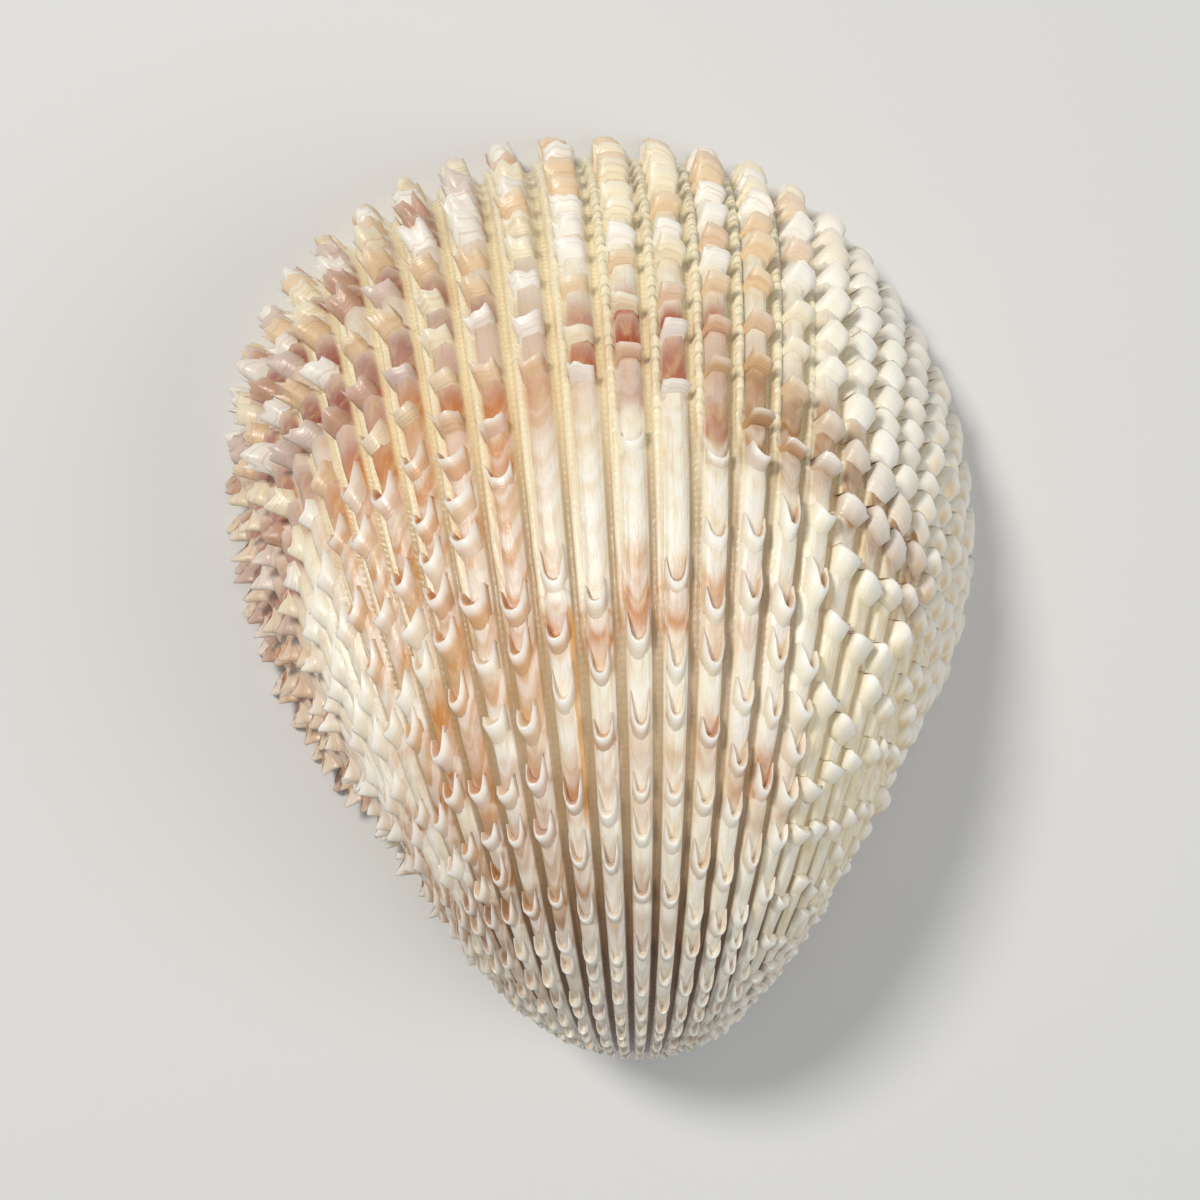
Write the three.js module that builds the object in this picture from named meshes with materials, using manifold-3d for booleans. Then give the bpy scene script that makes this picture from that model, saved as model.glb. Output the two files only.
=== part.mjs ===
// Cockle shell: one valve of a prickly cockle, resting on its margin with the hollow side down.
// Millimetres, +Z up. +Y runs from the hinge to the free margin, +X to the front end of the shell.
//
// A shell grows at its margin, so the valve is a growth spiral: every older margin is a smaller
// copy of the margin of today, turned about the hinge line. PSI is the place round a margin, from
// -PI to PI, with 0 at the middle of the free margin and the beak at both ends. PHI counts back
// through the growth, from 0 at the margin of today to CURL_END at the tip of the beak.
import * as THREE from 'three';
import { mergeVertices } from 'three/addons/utils/BufferGeometryUtils.js';
import Module from 'manifold-3d';

const wasm = await Module();
wasm.setup();

// The margin of today
const HEIGHT = 51; // from the hinge line to the free margin
const HALF_WIDTH = 24; // from the middle to the front or rear end
const FREE_MARGIN_WIDENING = 2.6;
const REAR_LEAN = 1.45; // how far the free margin leans to the rear end
const ROUNDNESS = 1.03;

// The growth spiral
const SHRINK = 0.32; // loss of size for each radian of turn, at the margin
const SHRINK_GAIN = 0.297; // how much faster it gets towards the beak
const BEAK_SHIFT = 2.3; // the beak stands this far to the front
const CURL_END = 3;
const TIP_POWER = 12; // higher keeps the spiral wide for longer before it closes at the tip

// Where the hinge line stands in the part's frame, so that the box of the valve is centred
const HINGE_X = 0.126;
const HINGE_Y = -22.362;

// Ribs: their pitch is widest near the front and narrows towards both ends of the hinge
const RIBS = 38;
const WIDEST_RIB = 27.3;
const WIDEST_RIB_PSI = 0.914;
const WIDEST_PITCH = 0.1276; // radians of PSI
const PITCH_TURN = 0.028; // how soon the pitch narrows
const SHOULDER = 0.3; // half the width of a rib's flat top, in pitches
const CREST_SHOULDER = 0.24; // the same on the crest of a scale
const GROOVE_DEPTH = 0.7; // below the smooth surface, at the margin
const RIB_RISE = 0.35; // above the smooth surface, at the margin
const HINGE_SIDE_COLUMNS = 4; // on the plain strip between the last rib and the beak, each side

// Scales: one crest and one foot row for each
const SCALES = 17;
const CROWDING = 0.55; // 0 spaces the rows evenly in PHI, more crowds them at the margin
const CREST_PLACE = 0.3; // where the crest stands between two feet, from the margin side
const SCALE_RISE = 1.25; // above the rib's top
const RIM_KNOB = 0.75; // share of that rise at the very margin
const STAGGER = 0.28; // how far the rows wander from rib to rib, in rows
const FADE_START = 0.86; // share of the curl after which the scales die out

// The hollow
const WALL = 2.2;
const PLATE_DEPTH = 4.8; // the hinge plate, from the hinge line inwards
const PLATE_THICKNESS = 3;
const HOLLOW_END = 2.5; // where the hollow closes inside the beak
const HOLLOW_POWER = 8;
const HOLLOW_COLUMNS = 38;
const HOLLOW_ROWS = 13;
const HOLLOW_ROW_SPREAD = 1.1; // over 1 crowds the rows at the rim
const HOLLOW_START = -0.1; // the cutter starts a little below the rim

// Hinge teeth, on a plate that is sunk behind the rim
const PLATE_SUNK = 1.3;
const PLATE_LIP = 1.3; // left standing along the margin
const PLATE_END = 2.2; // PSI at each end of the sunk face
const TOOTH_TIP = 0.35; // height of a tooth's tip over the rim plane
const TOOTH_ROOT = 0.6; // how far a tooth reaches into the plate
const TOOTH_TAPER = 0.35; // its tip's share of its foot
const TOOTH_SIDES = 7;
const TEETH = [
  { x: -1.1, y: 2.9, length: 2.6, width: 1.5, turn: 1.2 },
  { x: 2.5, y: 2.9, length: 2.2, width: 1.3, turn: -1.2 },
  { x: -14.2, y: 7.6, length: 4.2, width: 1.5, turn: -0.62 },
  { x: 13.6, y: 7.5, length: 3.6, width: 1.5, turn: 0.66 },
];

const shellColour = new THREE.Color('#e8d0b0');

// Size of the margin at PHI, as a share of the margin of today
function growth(phi) {
  const spiral = Math.exp(-(SHRINK * phi + (SHRINK_GAIN * phi * phi) / 2));
  return spiral * Math.sqrt(Math.max(0, 1 - (phi / CURL_END) ** TIP_POWER));
}

// A point of the margin of today, as x along the hinge line and y away from it
function marginPoint(psi) {
  const s = Math.sin(psi);
  const c = Math.cos(psi);
  const x = s * (HALF_WIDTH + FREE_MARGIN_WIDENING * c) - REAR_LEAN * s * s * c * (1 + c);
  return new THREE.Vector2(x, HEIGHT * ((1 + c) / 2) ** ROUNDNESS);
}

// The way out of the margin, in its own plane
function marginOutward(psi) {
  const step = 0.001;
  const along = marginPoint(psi + step).sub(marginPoint(psi - step)).normalize();
  return new THREE.Vector2(-along.y, along.x);
}

// Turns a point of a growth plane about the hinge line to its place in space
function inSpace(x, reach, phi, size) {
  return new THREE.Vector3(
    HINGE_X + x + BEAK_SHIFT * (1 - size),
    HINGE_Y + reach * Math.cos(phi),
    reach * Math.sin(phi),
  );
}

function ribPsi(rib) {
  const offset = Math.sin(PITCH_TURN * (rib - WIDEST_RIB));
  return WIDEST_RIB_PSI + (WIDEST_PITCH / PITCH_TURN) * offset;
}

// Columns of the outside: a groove, then the two shoulders of a rib, and so on round the margin.
// Each has its place as a rib number, so a column can move a little on the crest of a scale.
function outsideColumns() {
  const columns = [];
  const rearEnd = ribPsi(-0.5);
  const frontEnd = ribPsi(RIBS - 0.5);
  columns.push({ psi: -Math.PI, rib: -1 });
  for (let i = 1; i < HINGE_SIDE_COLUMNS; i += 1) {
    const share = i / HINGE_SIDE_COLUMNS;
    columns.push({ psi: -Math.PI + (rearEnd + Math.PI) * share, rib: -1 });
  }
  for (let rib = 0; rib < RIBS; rib += 1) {
    columns.push({ psi: ribPsi(rib - 0.5), inGroove: true, rib });
    columns.push({ onRib: true, rib, side: -1 });
    columns.push({ onRib: true, rib, side: 1 });
  }
  columns.push({ psi: frontEnd, inGroove: true, rib: RIBS });
  for (let i = 1; i < HINGE_SIDE_COLUMNS; i += 1) {
    const share = i / HINGE_SIDE_COLUMNS;
    columns.push({ psi: frontEnd + (Math.PI - frontEnd) * share, rib: RIBS });
  }
  return columns;
}

// Rows of the outside: the rim, then the crest and the foot of each scale
function outsideRows() {
  const rows = [{ place: 0, lift: RIM_KNOB }];
  for (let i = 0; i < SCALES; i += 1) {
    rows.push({ place: (i + CREST_PLACE) / SCALES, lift: 1 });
    rows.push({ place: (i + 1) / SCALES, lift: 0 });
  }
  rows.pop();
  return rows;
}

function rowPhi(place) {
  return CURL_END * (place * (1 - CROWDING) + CROWDING * place ** 3);
}

// How far the rows wander on a rib, and how tall its scales are, so that no two ribs look alike
function ribStagger(rib) {
  return STAGGER * Math.sin(2.4 * rib + 0.8);
}

function scaleSize(rib, row) {
  return 0.82 + 0.18 * Math.sin(1.7 * rib + 2.3 * row);
}

function outsidePoint(column, row, rowIndex) {
  const wander = rowIndex === 0 ? 0 : ribStagger(column.rib) / SCALES;
  const phi = Math.max(0, rowPhi(Math.min(row.place + wander * (1 - row.place), 1)));
  const size = growth(phi);
  let psi = column.psi;
  let lift = 0;
  if (column.onRib) {
    const half = row.lift > 0 ? CREST_SHOULDER : SHOULDER;
    psi = ribPsi(column.rib + column.side * half);
    const fade = THREE.MathUtils.smoothstep(CURL_END - phi, 0, CURL_END * (1 - FADE_START));
    const scale = SCALE_RISE * Math.sqrt(size) * row.lift * scaleSize(column.rib, rowIndex);
    lift = RIB_RISE * size + scale * fade;
  } else if (column.inGroove) {
    lift = -GROOVE_DEPTH * size;
  }
  const at = marginPoint(psi).multiplyScalar(size);
  at.addScaledVector(marginOutward(psi), lift);
  return inSpace(at.x, at.y, phi, size);
}

// A closed skin over rings of points, with a single point at each end
function closedSkin(rings, startPoint, endPoint) {
  const count = rings[0].length;
  const points = [startPoint, ...rings.flat(), endPoint];
  const last = points.length - 1;
  const index = [];
  for (let i = 0; i < count; i += 1) {
    const next = (i + 1) % count;
    index.push(0, 1 + i, 1 + next);
    for (let ring = 0; ring < rings.length - 1; ring += 1) {
      const here = 1 + ring * count;
      const above = here + count;
      index.push(here + i, above + i, above + next);
      index.push(here + i, above + next, here + next);
    }
    const top = 1 + (rings.length - 1) * count;
    index.push(top + i, last, top + next);
  }
  const geometry = new THREE.BufferGeometry().setFromPoints(points);
  geometry.setIndex(index);
  return geometry;
}

function outsideBody() {
  const columns = outsideColumns();
  const rings = outsideRows().map((row, rowIndex) =>
    columns.map((column) => outsidePoint(column, row, rowIndex)));
  const rimMiddle = inSpace(0, HEIGHT / 2, 0, 1);
  return closedSkin(rings, rimMiddle, inSpace(0, 0, CURL_END, 0));
}

// The hollow is a smaller growth spiral inside the first, kept off the hinge by the plate
function hollowPoint(psi, phi, narrow) {
  const size = growth(Math.max(phi, 0));
  const slope = SHRINK + SHRINK_GAIN * Math.max(phi, 0);
  const wall = WALL * Math.hypot(1, slope);
  const plateFront = PLATE_DEPTH / Math.max(Math.cos(phi), 0.01);
  const plateBack = phi > 0 ? PLATE_THICKNESS / Math.sin(phi) : Infinity;
  const near = Math.min(plateFront, plateBack);
  const far = HEIGHT * size - wall;
  const margin = marginPoint(psi);
  const middle = (near + far) / 2;
  const reach = near + (far - near) * (margin.y / HEIGHT);
  const x = margin.x * (size - wall / HALF_WIDTH);
  return inSpace(x * narrow, middle + (reach - middle) * narrow, phi, size);
}

function hollowBody() {
  const rings = [];
  for (let row = 0; row < HOLLOW_ROWS; row += 1) {
    const share = row / HOLLOW_ROWS;
    const phi = HOLLOW_START + (HOLLOW_END - HOLLOW_START) * share ** HOLLOW_ROW_SPREAD;
    const narrow = Math.sqrt(1 - Math.max(0, phi / HOLLOW_END) ** HOLLOW_POWER);
    const ring = [];
    for (let i = 0; i < HOLLOW_COLUMNS; i += 1) {
      ring.push(hollowPoint(-Math.PI + (2 * Math.PI * i) / HOLLOW_COLUMNS, phi, narrow));
    }
    rings.push(ring);
  }
  return closedSkin(rings, hollowPoint(0, HOLLOW_START, 0), hollowPoint(0, HOLLOW_END, 0));
}

// The sunk face of the hinge plate: a shallow crescent cut that leaves a lip along the margin
function plateSinkBody() {
  const edge = [];
  const steps = 10;
  for (let i = -steps; i <= steps; i += 1) {
    const psi = Math.PI + ((Math.PI - PLATE_END) * i) / steps;
    edge.push(marginPoint(psi).addScaledVector(marginOutward(psi), -PLATE_LIP));
  }
  const shape = new THREE.Shape(edge);
  const cut = new THREE.ExtrudeGeometry(shape, { depth: PLATE_SUNK + 1, bevelEnabled: false });
  return cut.translate(HINGE_X, HINGE_Y, -1);
}

function toothBody(tooth) {
  const height = PLATE_SUNK + TOOTH_ROOT - TOOTH_TIP;
  const cone = new THREE.CylinderGeometry(1, TOOTH_TAPER, height, TOOTH_SIDES);
  cone.rotateX(Math.PI / 2);
  cone.scale(tooth.length / 2, tooth.width / 2, 1);
  cone.rotateZ(tooth.turn);
  return cone.translate(HINGE_X + tooth.x, HINGE_Y + tooth.y, TOOTH_TIP + height / 2);
}

// Joins and cuts need a closed mesh with its shared vertices merged
function toSolid(geometry) {
  geometry.deleteAttribute('normal');
  geometry.deleteAttribute('uv');
  const merged = mergeVertices(geometry, 1e-4);
  const mesh = new wasm.Mesh({
    numProp: 3,
    vertProperties: new Float32Array(merged.attributes.position.array),
    triVerts: new Uint32Array(merged.index.array),
  });
  return new wasm.Manifold(mesh);
}

function toGeometry(solid) {
  const mesh = solid.getMesh();
  const geometry = new THREE.BufferGeometry();
  geometry.setAttribute('position', new THREE.BufferAttribute(mesh.vertProperties, 3));
  geometry.setIndex(new THREE.BufferAttribute(mesh.triVerts, 1));
  geometry.computeVertexNormals();
  return geometry;
}

let valve = toSolid(outsideBody()).subtract(toSolid(hollowBody()));
valve = valve.subtract(toSolid(plateSinkBody()));
for (const tooth of TEETH) {
  valve = valve.add(toSolid(toothBody(tooth)));
}

const shellMaterial = new THREE.MeshStandardMaterial({
  color: shellColour,
  roughness: 0.45,
  metalness: 0,
  flatShading: true,
});

const group = new THREE.Group();
const mesh = new THREE.Mesh(toGeometry(valve), shellMaterial);
mesh.name = 'valve';
group.add(mesh);

export default group;
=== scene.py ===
"""One valve of a prickly cockle, lying on its margin on a plain pale floor.

The valve is a growth spiral, as in the solid part. PSI is the place round a margin, from -pi to
pi, with 0 at the middle of the free margin and the beak at both ends. PHI counts back through the
growth, from 0 at the margin of today to CURL_END at the tip of the beak. An arc is the same as a
distance along the middle of the shell. Sizes are millimetres until MM turns them to metres.
"""

import random
from bisect import bisect_left
from math import asin, cos, exp, hypot, pi, sin, sqrt

import bmesh
import bpy
from mathutils import Matrix, Vector, noise


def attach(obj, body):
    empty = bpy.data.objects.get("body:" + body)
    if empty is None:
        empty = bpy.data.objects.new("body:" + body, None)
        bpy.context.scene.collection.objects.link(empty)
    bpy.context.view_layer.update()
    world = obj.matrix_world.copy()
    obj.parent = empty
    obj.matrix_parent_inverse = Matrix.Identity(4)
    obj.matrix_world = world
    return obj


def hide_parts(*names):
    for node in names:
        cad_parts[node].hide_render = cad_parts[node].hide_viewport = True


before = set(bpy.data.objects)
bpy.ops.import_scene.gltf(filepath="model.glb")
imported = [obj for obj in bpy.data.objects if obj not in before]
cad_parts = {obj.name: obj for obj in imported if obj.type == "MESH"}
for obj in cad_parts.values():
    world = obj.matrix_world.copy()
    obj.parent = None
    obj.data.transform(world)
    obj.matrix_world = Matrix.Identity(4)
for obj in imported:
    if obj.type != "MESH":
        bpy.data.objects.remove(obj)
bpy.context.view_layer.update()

MM = 0.001
# Vertices of a mesh that are nearer than this are merged
MERGE = 0.002 * MM
# A small turn in PHI, for directions and lengths along the growth
GROWTH_STEP = 0.01

# The margin of today and the growth spiral, as in the solid part, whose half width is a little
# more because its outline takes in the scales
HEIGHT = 51
HALF_WIDTH = 23.6
FREE_MARGIN_WIDENING = 2.6
REAR_LEAN = 1.45
ROUNDNESS = 1.03
SHRINK = 0.32
SHRINK_GAIN = 0.297
BEAK_SHIFT = 2.3
CURL_END = 3
TIP_POWER = 12
HINGE_X = 0.126
HINGE_Y = -22.362

# Ribs
RIBS = 38
WIDEST_RIB = 27.3
WIDEST_RIB_PSI = 0.914
WIDEST_PITCH = 0.1276
PITCH_TURN = 0.028
GROOVE_DEPTH = 0.75
RIB_RISE = 0.35
CORD_HEIGHT = 0.62

# The hollow, the hinge plate and its teeth
WALL = 2.2
PLATE_DEPTH = 4.8
PLATE_THICKNESS = 3
HOLLOW_END = 2.5
HOLLOW_POWER = 8
PLATE_SUNK = 1.3
PLATE_LIP = 1.3
PLATE_END = 2.2
PLATE_FADE = 0.12
TOOTH_TIP = 0.35
TEETH = [
    {"x": -1.1, "y": 2.9, "length": 2.6, "width": 1.5, "turn": 1.2},
    {"x": 2.5, "y": 2.9, "length": 2.2, "width": 1.3, "turn": -1.2},
    {"x": -14.2, "y": 7.6, "length": 4.2, "width": 1.5, "turn": -0.62},
    {"x": 13.6, "y": 7.5, "length": 3.6, "width": 1.5, "turn": 0.66},
]

# The mesh of the valve: columns run round the margin, rows from the beak over the rim and inside
RIB_STOPS = (-0.5, -0.45, -0.4, -0.345, -0.285, -0.235, -0.16, -0.06, 0.07, 0.19, 0.28, 0.38)
RIB_COLUMNS = len(RIB_STOPS)
STRIP_COLUMNS = 16
OUT_ROWS = 140
RIM_ROWS = 12
IN_ROWS = 40


def clamp(x, low=0.0, high=1.0):
    return min(max(x, low), high)


def smooth(low, high, x):
    """Rises from 0 at low to 1 at high with no corner."""
    t = clamp((x - low) / (high - low))
    return t * t * (3 - 2 * t)


def blend(a, b, share):
    return a + (b - a) * share


def growth(phi):
    """Size of the margin at PHI, as a share of the margin of today."""
    spiral = exp(-(SHRINK * phi + SHRINK_GAIN * phi * phi / 2))
    return spiral * sqrt(max(0.0, 1 - (phi / CURL_END) ** TIP_POWER))


def margin_point(psi):
    s, c = sin(psi), cos(psi)
    x = s * (HALF_WIDTH + FREE_MARGIN_WIDENING * c) - REAR_LEAN * s * s * c * (1 + c)
    return x, HEIGHT * ((1 + c) / 2) ** ROUNDNESS


def margin_outward(psi):
    """The way out of the margin, in its own plane."""
    step = 0.001
    x0, y0 = margin_point(psi - step)
    x1, y1 = margin_point(psi + step)
    length = hypot(x1 - x0, y1 - y0)
    return (y0 - y1) / length, (x1 - x0) / length


def in_space(x, reach, phi, size):
    """Turns a point of a growth plane about the hinge line to its place, in metres."""
    return Vector((
        HINGE_X + x + BEAK_SHIFT * (1 - size),
        HINGE_Y + reach * cos(phi),
        reach * sin(phi),
    )) * MM


def outside(psi, phi, lift):
    """A point of the outside, lifted off the smooth shell."""
    size = growth(phi)
    x, y = margin_point(psi)
    out_x, out_y = margin_outward(psi)
    return in_space(x * size + out_x * lift, y * size + out_y * lift, phi, size)


def rib_psi(rib):
    return WIDEST_RIB_PSI + WIDEST_PITCH / PITCH_TURN * sin(PITCH_TURN * (rib - WIDEST_RIB))


# Steps of the table of distances along the growth
ARC_STEPS = 600
# The longest hollow before a scale
LONGEST_HOLLOW = 5
# PHI where growth had stopped for a while
GROWTH_STOPS = (0.70, 0.93, 1.18)


def arc_table():
    """Distance from the margin, along the middle of the shell, at even steps of PHI."""
    turn = CURL_END / ARC_STEPS
    lengths = [0.0]
    for i in range(ARC_STEPS):
        here, there = growth(i * turn), growth((i + 1) * turn)
        lengths.append(lengths[-1] + HEIGHT * hypot((here + there) / 2 * turn, here - there))
    return lengths


ARC = arc_table()


def arc_at(phi):
    place = clamp(phi / CURL_END) * ARC_STEPS
    i = min(int(place), ARC_STEPS - 1)
    return blend(ARC[i], ARC[i + 1], place - i)


def phi_at(arc):
    i = clamp(bisect_left(ARC, arc), 1, ARC_STEPS)
    share = (arc - ARC[i - 1]) / (ARC[i] - ARC[i - 1])
    return CURL_END * (i - 1 + clamp(share)) / ARC_STEPS


def rib_relief(rib, cords=1.0):
    """Section of a rib, 0 in the groove and 1 on top: a low side cord, then the top with the scales.
    cords is how much of the side cord there is. Without it the top is wider."""
    f = rib - round(rib)
    wider = 0.13 * (1 - cords)
    top = smooth(-0.28 - wider, -0.14 - wider / 2, f)
    top *= 1 - smooth(0.19 + wider / 2, 0.39 + wider / 2, f)
    top *= 1 - 1.2 * (f - 0.03) ** 2
    cord = max(0.0, 1 - ((f + 0.365) / 0.125) ** 2) + max(0.0, 1 - ((f - 0.635) / 0.125) ** 2)
    return max(top, CORD_HEIGHT * cords * sqrt(min(cord, 1)))


def cord_share(psi, phi):
    """The cords fade on the old part of the shell and on the front ribs."""
    old = max(smooth(-0.1, 0.25, psi) * smooth(0.62, 0.85, phi), smooth(0.85, 1.1, phi))
    return 1 - 0.8 * max(old, smooth(0.45, 0.75, psi))


def rib_strength(rib):
    """Ribs get lower towards the hinge."""
    return blend(0.6, 1, smooth(-1, 3, rib) * (1 - smooth(RIBS - 4, RIBS, rib)))


def column_place(i):
    """PSI and rib number of a column of the valve's mesh, and how far it is past the last rib."""
    rear_end, front_end = rib_psi(-0.5), rib_psi(RIBS - 0.5)
    on_rib = i - STRIP_COLUMNS
    if on_rib < 0:
        share = i / STRIP_COLUMNS
        return -pi + (rear_end + pi) * share, -0.5, 1 - share
    if on_rib > RIBS * RIB_COLUMNS:
        share = (on_rib - RIBS * RIB_COLUMNS) / STRIP_COLUMNS
        return front_end + (pi - front_end) * share, RIBS - 0.5, share
    number, stop = divmod(on_rib, RIB_COLUMNS)
    rib = number + RIB_STOPS[stop]
    return rib_psi(rib), rib, 0.0


def outside_lift(psi, rib, past, phi):
    """How far the ribbed outside stands off the smooth shell."""
    deep = -GROOVE_DEPTH * (1 - smooth(0, 0.7, past))
    relief = rib_relief(rib, cord_share(psi, phi)) * rib_strength(rib)
    flatter = 1 - 0.3 * smooth(0.6, 0.9, psi) * smooth(0.55, 0.8, phi)
    return (deep + (GROOVE_DEPTH + RIB_RISE) * relief) * growth(phi) ** 0.85 * flatter


def inside(psi, rib, past, phi):
    """A point of the hollow, with the waves that the ribs leave along the margin."""
    size = growth(phi)
    slope = SHRINK + SHRINK_GAIN * phi
    wall = WALL * hypot(1, slope)
    near = PLATE_DEPTH / max(cos(phi), 0.01)
    if phi > 0:
        near = min(near, PLATE_THICKNESS / sin(phi))
    far = HEIGHT * size - wall
    x, y = margin_point(psi)
    reach = near + (far - near) * y / HEIGHT
    x *= size - wall / HALF_WIDTH
    out_x, out_y = margin_outward(psi)
    wave = (rib_relief(rib) - 0.5) * (1 - smooth(0, 0.3, past))
    wave *= 0.85 * exp(-phi / 0.05) + 0.14 * exp(-phi / 0.6)
    wave -= 0.14 * scar(psi, phi)
    narrow = sqrt(1 - clamp(phi / HOLLOW_END) ** HOLLOW_POWER)
    middle = (near + far) / 2
    x = (x + out_x * wave) * narrow
    reach = middle + (reach + out_y * wave - middle) * narrow
    return in_space(x, reach, phi, size)


def scar(psi, phi):
    """The two muscle scars inside the valve, 1 on the scar."""
    rear = hypot((psi + 1.95) / 0.2, (phi - 0.42) / 0.16)
    front = hypot((psi - 1.95) / 0.17, (phi - 0.40) / 0.15)
    return 1 - smooth(0.8, 1.1, min(rear, front))


def on_hinge_plate(psi):
    """0 along the free margin and 1 on the hinge plate."""
    return smooth(PLATE_END - PLATE_FADE, PLATE_END + PLATE_FADE, abs(psi))


def hollow_start(psi):
    """PHI where the hollow's mesh starts: at the rim, or at the sunk face of the hinge plate."""
    y = margin_point(psi)[1]
    reach = PLATE_DEPTH + (HEIGHT - WALL - PLATE_DEPTH) * y / HEIGHT
    sunk = PLATE_SUNK * on_hinge_plate(psi)
    return asin(min(sunk / reach, 1)) + 0.004


def tooth_height(x, y):
    """How much of a hinge tooth stands at a point of the plate, from 0 to 1."""
    tallest = 0.0
    for tooth in TEETH:
        dx, dy = x - tooth["x"], y - tooth["y"]
        along = dx * cos(tooth["turn"]) + dy * sin(tooth["turn"])
        across = dy * cos(tooth["turn"]) - dx * sin(tooth["turn"])
        away = hypot(along / (tooth["length"] / 2), across / (tooth["width"] / 2))
        tallest = max(tallest, exp(-(away ** 3)))
    return tallest


def rim_point(psi, rib, past, v):
    """A point across the rim, from the outside at v 0 to the edge of the hollow at v 1."""
    outer = outside(psi, 0, outside_lift(psi, rib, past, 0))
    inner = inside(psi, rib, past, hollow_start(psi))
    point = outer.lerp(inner, v)
    width = (inner - outer).length / MM
    on_plate = on_hinge_plate(psi)
    sunk = PLATE_SUNK * smooth(0.6 * PLATE_LIP, 1.2 * PLATE_LIP, v * width)
    tooth = tooth_height(point.x / MM - HINGE_X, point.y / MM - HINGE_Y)
    sunk = blend(sunk, TOOTH_TIP, tooth * smooth(0.5, 1, v * width / PLATE_LIP))
    point.z = blend(inner.z * v ** 3, sunk * MM, on_plate)
    return point


def scale_spacing(psi, phi):
    """Distance from a scale to the next, along the rib."""
    start = smooth(0.02, 0.12, phi)
    young = 1.5 + 1.3 * start + 0.5 * smooth(0.4, 0.55, phi)
    young = blend(young, 4.2, smooth(-0.4, -0.75, psi) * smooth(0.2, 0.4, phi))
    old = blend(3.8, 3.4, smooth(-0.2, -0.5, psi))
    middle = blend(young, old, smooth(0.62, 0.8, phi))
    front = 1.5 + 0.7 * start + 0.9 * smooth(0.6, 0.75, phi)
    rear = 1.8 + 2.0 * start
    if psi > 0:
        along = blend(middle, front, smooth(0.6, 1.0, psi))
    else:
        along = blend(middle, rear, smooth(-1.1, -1.4, psi))
    return blend(along, 2.4, smooth(1.2, 1.6, phi)) * min(1, growth(phi) / 0.45)


def pace(psi, phi):
    """Distance along a rib for each mm along the middle of the shell."""
    length = (outside(psi, phi + GROWTH_STEP, 0) - outside(psi, phi, 0)).length / MM
    return length / (arc_at(phi + GROWTH_STEP) - arc_at(phi))


def worn_away(psi, phi):
    """How much of a scale is gone on the oldest high part of the back."""
    belt = smooth(0.70, 0.78, phi) * (1 - smooth(0.92, 1.02, phi))
    return 0.8 * belt * (1 - smooth(0.25, 0.45, abs(psi + 0.1)))


def scale_places():
    """For each rib, where its scales stand along it, with a number from 0 to 1 for each one's tone."""
    draw = random.Random(11)
    ribs = []
    for rib in range(RIBS):
        arc = draw.uniform(0.25, 0.7)
        places = []
        while arc < ARC[-1] - 3:
            phi = phi_at(arc)
            if draw.random() > worn_away(rib_psi(rib), phi):
                places.append((arc, draw.random()))
            uneven = 0.25 + 0.2 * smooth(0.6, 0.8, phi)
            step = scale_spacing(rib_psi(rib), phi) / pace(rib_psi(rib), phi)
            arc += step * draw.uniform(1 - uneven, 1 + uneven)
        ribs.append(places)
    return ribs


SCALES = scale_places()


def scale_behind(rib, arc):
    """How deep a place lies in the hollow before a scale, and that scale's tone."""
    places = SCALES[int(clamp(round(rib), 0, RIBS - 1))]
    i = bisect_left(places, (arc, 0.0))
    if i == len(places):
        return 0.0, 0.0
    gap = min(places[i][0] - (places[i - 1][0] if i > 0 else 0.0), LONGEST_HOLLOW)
    return 1 - smooth(0.1, 0.9, (places[i][0] - arc) / gap), places[i][1]


def scoop(psi, phi):
    """How deep the old ribs are scooped out before a scale."""
    return 0.28 * smooth(0.5, 0.75, phi) * (1 - smooth(0.8, 1.2, abs(psi))) * growth(phi) ** 0.6


def unevenness(rib, phi, arc):
    """Small hollows and swellings of the outside, and the dents where growth had stopped."""
    wave = 0.07 * noise.noise(Vector((rib * 1.9, arc * 0.8, 0)))
    dents = sum(exp(-((phi - stop) / 0.012) ** 2) for stop in GROWTH_STOPS)
    return (wave - 0.14 * dents) * growth(phi)


def valve_vertex(i, j):
    """Place of a vertex of the valve's mesh and what its material needs to know about it."""
    psi, rib, past = column_place(i)
    if j <= OUT_ROWS:
        arc = ARC[-1] * (1 - j / OUT_ROWS)
        phi = phi_at(arc)
        relief = rib_relief(rib, cord_share(psi, phi)) * (1 - smooth(0, 0.3, past))
        hollow, cell = scale_behind(rib, arc)
        lift = outside_lift(psi, rib, past, phi) - scoop(psi, phi) * hollow * relief ** 3
        lift += unevenness(rib, phi, arc) * smooth(0, 2, arc)
        point = outside(psi, phi, lift)
        point.z = max(point.z, 0)
        return point, psi, rib, phi, arc, relief, 0.0, hollow, cell
    if j < OUT_ROWS + RIM_ROWS:
        v = (j - OUT_ROWS) / RIM_ROWS
        return rim_point(psi, rib, past, v), psi, rib, 0.0, 0.0, 1.0, v, 0.0, 0.0
    share = (j - OUT_ROWS - RIM_ROWS) / IN_ROWS
    start = hollow_start(psi)
    phi = start + (HOLLOW_END - start) * share ** 1.25
    return inside(psi, rib, past, phi), psi, rib, phi, arc_at(phi), scar(psi, phi), 2.0, 0.0, 0.0


# What each vertex of the valve tells its material. inner is 0 outside, rises to 1 across the rim
# and is 2 in the hollow, where relief stands for the muscle scars.
MARKS = ("psi", "rib", "age", "arc", "relief", "inner", "hollow", "cell")


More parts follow.
